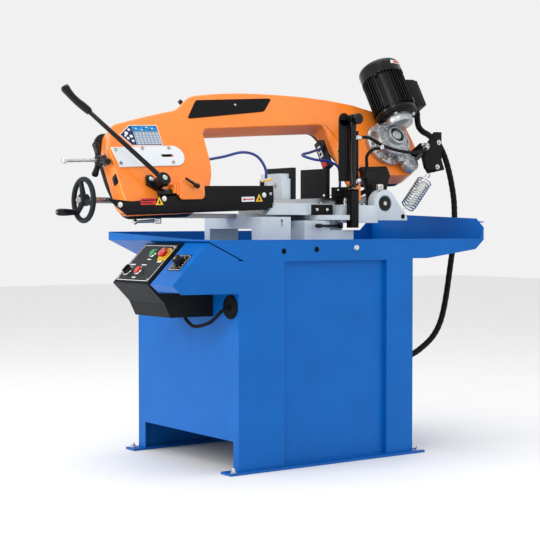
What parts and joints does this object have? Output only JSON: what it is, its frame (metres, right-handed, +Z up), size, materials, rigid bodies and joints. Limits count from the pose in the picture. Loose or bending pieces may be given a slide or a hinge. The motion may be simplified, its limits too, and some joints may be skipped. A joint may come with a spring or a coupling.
{
  "type": "swivel bow metal cutting band saw",
  "caption": "Horizontal metal-cutting band saw with a leaning bow, quick vise, mitre swivel, damper, motor and gearbox on a blue sheet-metal stand with coolant tray.",
  "frame": {"origin": "centre of the four anchor holes, on the floor", "axes": "+X from the handwheel end to the motor end, +Y to the back, +Z up"},
  "size_m": [1.7337, 0.7, 1.4834],
  "materials": {
    "blue_paint": "semi-gloss",
    "tray_paint": "semi-gloss",
    "foot_paint": "semi-gloss",
    "orange_paint": "gloss",
    "orange_plastic": "gloss",
    "cover_black": "semi-gloss",
    "black_paint": "satin",
    "damper_paint": "satin",
    "insert_black": "textured",
    "plate_white": "satin",
    "grey_casting": "painted",
    "bed_iron": "machined",
    "jaw_black": "blackened",
    "screw_steel": "turned",
    "zinc": "zinc plated",
    "spring_zinc": "zinc plated",
    "lever_steel": "cast",
    "shaft_black": "gloss",
    "wheel_plastic": "satin",
    "grip_plastic": "gloss",
    "knob_plastic": "gloss",
    "lever_black": "satin",
    "lock_black": "gloss",
    "gear_alloy": "as cast",
    "motor_black": "gloss",
    "band_steel": "rolled",
    "wheel_iron": "machined",
    "box_black": "textured",
    "face_grey": "satin",
    "button_green": "gloss",
    "button_red": "gloss",
    "stop_red": "gloss",
    "switch_black": "gloss",
    "dial_black": "gloss",
    "rubber_black": "matt",
    "conduit_black": "ribbed",
    "hose_blue": "gloss",
    "tap_yellow": "gloss"
  },
  "bodies": {
    "stand": {"cabinet": "blue_paint", "foot_plates": "foot_paint", "foot_bolts": "zinc", "tray": "tray_paint", "cable_grommet": "rubber_black", "box_cable": "rubber_black", "control_box": "box_black", "control_face": "face_grey", "dial_bracket": "blue_paint", "base_casting": "grey_casting", "rear_bed": "bed_iron", "fixed_jaw": "jaw_black", "vise_rail": "bed_iron", "conduit_lower": "conduit_black"},
    "start_key": {"start_button": "button_green"},
    "stop_key": {"stop_button": "button_red"},
    "stop_mushroom": {"emergency_stop": "stop_red"},
    "selector": {"selector_switch": "switch_black"},
    "speed_dial": {"speed_knob": "dial_black"},
    "rail_lock": {"rail_lever": "lever_steel"},
    "jaw": {"moving_jaw": "grey_casting", "jaw_plate": "jaw_black"},
    "screw": {"vise_screw": "screw_steel", "handwheel": "wheel_plastic"},
    "grip": {"crank_grip": "grip_plastic"},
    "swivel": {"swivel_table": "grey_casting", "pivot_casting": "grey_casting", "pivot_shaft": "shaft_black", "stop_screw": "zinc", "lift_spring": "spring_zinc"},
    "swivel_lock": {"swivel_lever": "lock_black"},
    "bow": {"bow_casting": "orange_paint", "bow_cover": "cover_black", "top_insert": "insert_black", "slide_plate": "plate_white", "guard_beam": "black_paint", "left_guide": "black_paint", "right_guide": "black_paint", "right_guard": "black_paint", "bow_bracket": "black_paint", "damper_arm": "black_paint", "gearbox": "gear_alloy", "motor": "motor_black", "terminal_box": "motor_black", "tension_rod": "screw_steel", "band": "band_steel", "coolant_hose_left": "hose_blue", "coolant_hose_right": "hose_blue", "damper_hose_upper": "rubber_black", "damper_hose_lower": "rubber_black", "conduit_upper": "conduit_black"},
    "idler": {"idler_wheel": "wheel_iron"},
    "driver": {"drive_wheel": "wheel_iron"},
    "star": {"star_handle": "knob_plastic"},
    "brush_door": {"brush_cover": "orange_plastic"},
    "lever": {"feed_lever": "lever_black"},
    "tap": {"tap_lever": "tap_yellow"},
    "barrel": {"damper_barrel": "damper_paint"},
    "flow_knob": {"damper_knob": "knob_plastic"},
    "rod": {"damper_rod": "damper_paint"}
  },
  "joints": [
    {"name": "start_press", "type": "slide", "parent": "stand", "child": "start_key", "axis": [0.7071, 0, -0.7071], "range_m": [0, 0.004], "stiffness_N_per_m": 600},
    {"name": "stop_press", "type": "slide", "parent": "stand", "child": "stop_key", "axis": [0.7071, 0, -0.7071], "range_m": [0, 0.004], "stiffness_N_per_m": 600},
    {"name": "emergency_press", "type": "slide", "parent": "stand", "child": "stop_mushroom", "axis": [0.7071, 0, -0.7071], "range_m": [0, 0.006], "stiffness_N_per_m": 500},
    {"name": "selector_turn", "type": "hinge", "parent": "stand", "child": "selector", "pos_m": [-0.60211, 0.02, 0.67289], "axis": [-0.7071, 0, 0.7071], "range_deg": [-45, 45]},
    {"name": "speed_turn", "type": "hinge", "parent": "stand", "child": "speed_dial", "pos_m": [-0.56888, -0.262, 0.70612], "axis": [-0.7071, 0, 0.7071], "range_deg": [-135, 135]},
    {"name": "rail_lock_turn", "type": "hinge", "parent": "stand", "child": "rail_lock", "pos_m": [-0.505, -0.01, 0.845], "axis": [0, 0, 1], "range_deg": [-40, 5]},
    {"name": "handwheel_turn", "type": "hinge", "parent": "stand", "child": "screw", "pos_m": [-0.789, -0.01, 0.914], "axis": [1, 0, 0], "range_deg": [-7190, 8210]},
    {"name": "jaw_slide", "type": "slide", "parent": "stand", "child": "jaw", "axis": [1, 0, 0], "range_m": [-0.12, 0.137]},
    {"name": "grip_spin", "type": "hinge", "parent": "screw", "child": "grip", "pos_m": [-0.83, 0.02981, 0.87321], "axis": [1, 0, 0], "continuous": true},
    {"name": "swivel_turn", "type": "hinge", "parent": "stand", "child": "swivel", "pos_m": [0.165, -0.12, 0.86], "axis": [0, 0, 1], "range_deg": [0, 45], "deforming": ["conduit_lower"]},
    {"name": "swivel_lock_turn", "type": "hinge", "parent": "swivel", "child": "swivel_lock", "pos_m": [0.165, -0.182, 0.83], "axis": [0, 0, 1], "range_deg": [0, 30]},
    {"name": "bow_lift", "type": "hinge", "parent": "swivel", "child": "bow", "pos_m": [0.38, -0.12, 0.913], "axis": [0, 1, 0], "range_deg": [0, 45], "deforming": ["lift_spring", "conduit_upper", "damper_hose_upper", "damper_hose_lower"]},
    {"name": "drive_spin", "type": "hinge", "parent": "bow", "child": "driver", "pos_m": [0.4817, -0.01578, 1.11345], "axis": [0.0197, 0.8829, -0.4691], "continuous": true},
    {"name": "idler_spin", "type": "hinge", "parent": "bow", "child": "idler", "pos_m": [-0.53748, -0.02751, 1.04864], "axis": [0.0197, 0.8829, -0.4691], "continuous": true},
    {"name": "star_turn", "type": "hinge", "parent": "bow", "child": "star", "pos_m": [-0.73661, -0.02376, 1.04736], "axis": [0.9991, 0, 0.0419], "range_deg": [-180, 180]},
    {"name": "brush_open", "type": "hinge", "parent": "bow", "child": "brush_door", "pos_m": [-0.52348, -0.176, 0.9532], "axis": [-0.0419, 0, 0.9991], "range_deg": [-90, 0]},
    {"name": "feed_swing", "type": "hinge", "parent": "bow", "child": "lever", "pos_m": [-0.57475, -0.16826, 0.98255], "axis": [0.0197, 0.8829, -0.4691], "range_deg": [-20, 25]},
    {"name": "tap_turn", "type": "hinge", "parent": "bow", "child": "tap", "pos_m": [-0.15351, -0.14, 0.98572], "axis": [-0.0419, 0, 0.9991], "range_deg": [0, 90]},
    {"name": "damper_tilt", "type": "hinge", "parent": "bow", "child": "barrel", "pos_m": [0.2, -0.21, 1.216], "axis": [0, 1, 0], "range_deg": [-12.6, 0]},
    {"name": "damper_slide", "type": "slide", "parent": "barrel", "child": "rod", "axis": [0, 0, -1], "range_m": [0, 0.1185]},
    {"name": "flow_turn", "type": "hinge", "parent": "barrel", "child": "flow_knob", "pos_m": [0.202, -0.236, 1.216], "axis": [0, -1, 0], "range_deg": [-150, 150]}
  ],
  "couplings": [
    {"joint": "jaw_slide", "follows": "handwheel_turn", "m_per_rad": 0.00095493},
    {"joint": "idler_spin", "follows": "drive_spin", "ratio": 1},
    {"joint": "damper_tilt", "follows": "bow_lift", "ratio": -0.26586},
    {"joint": "damper_slide", "follows": "bow_lift", "m_per_rad": 0.14987}
  ]
}
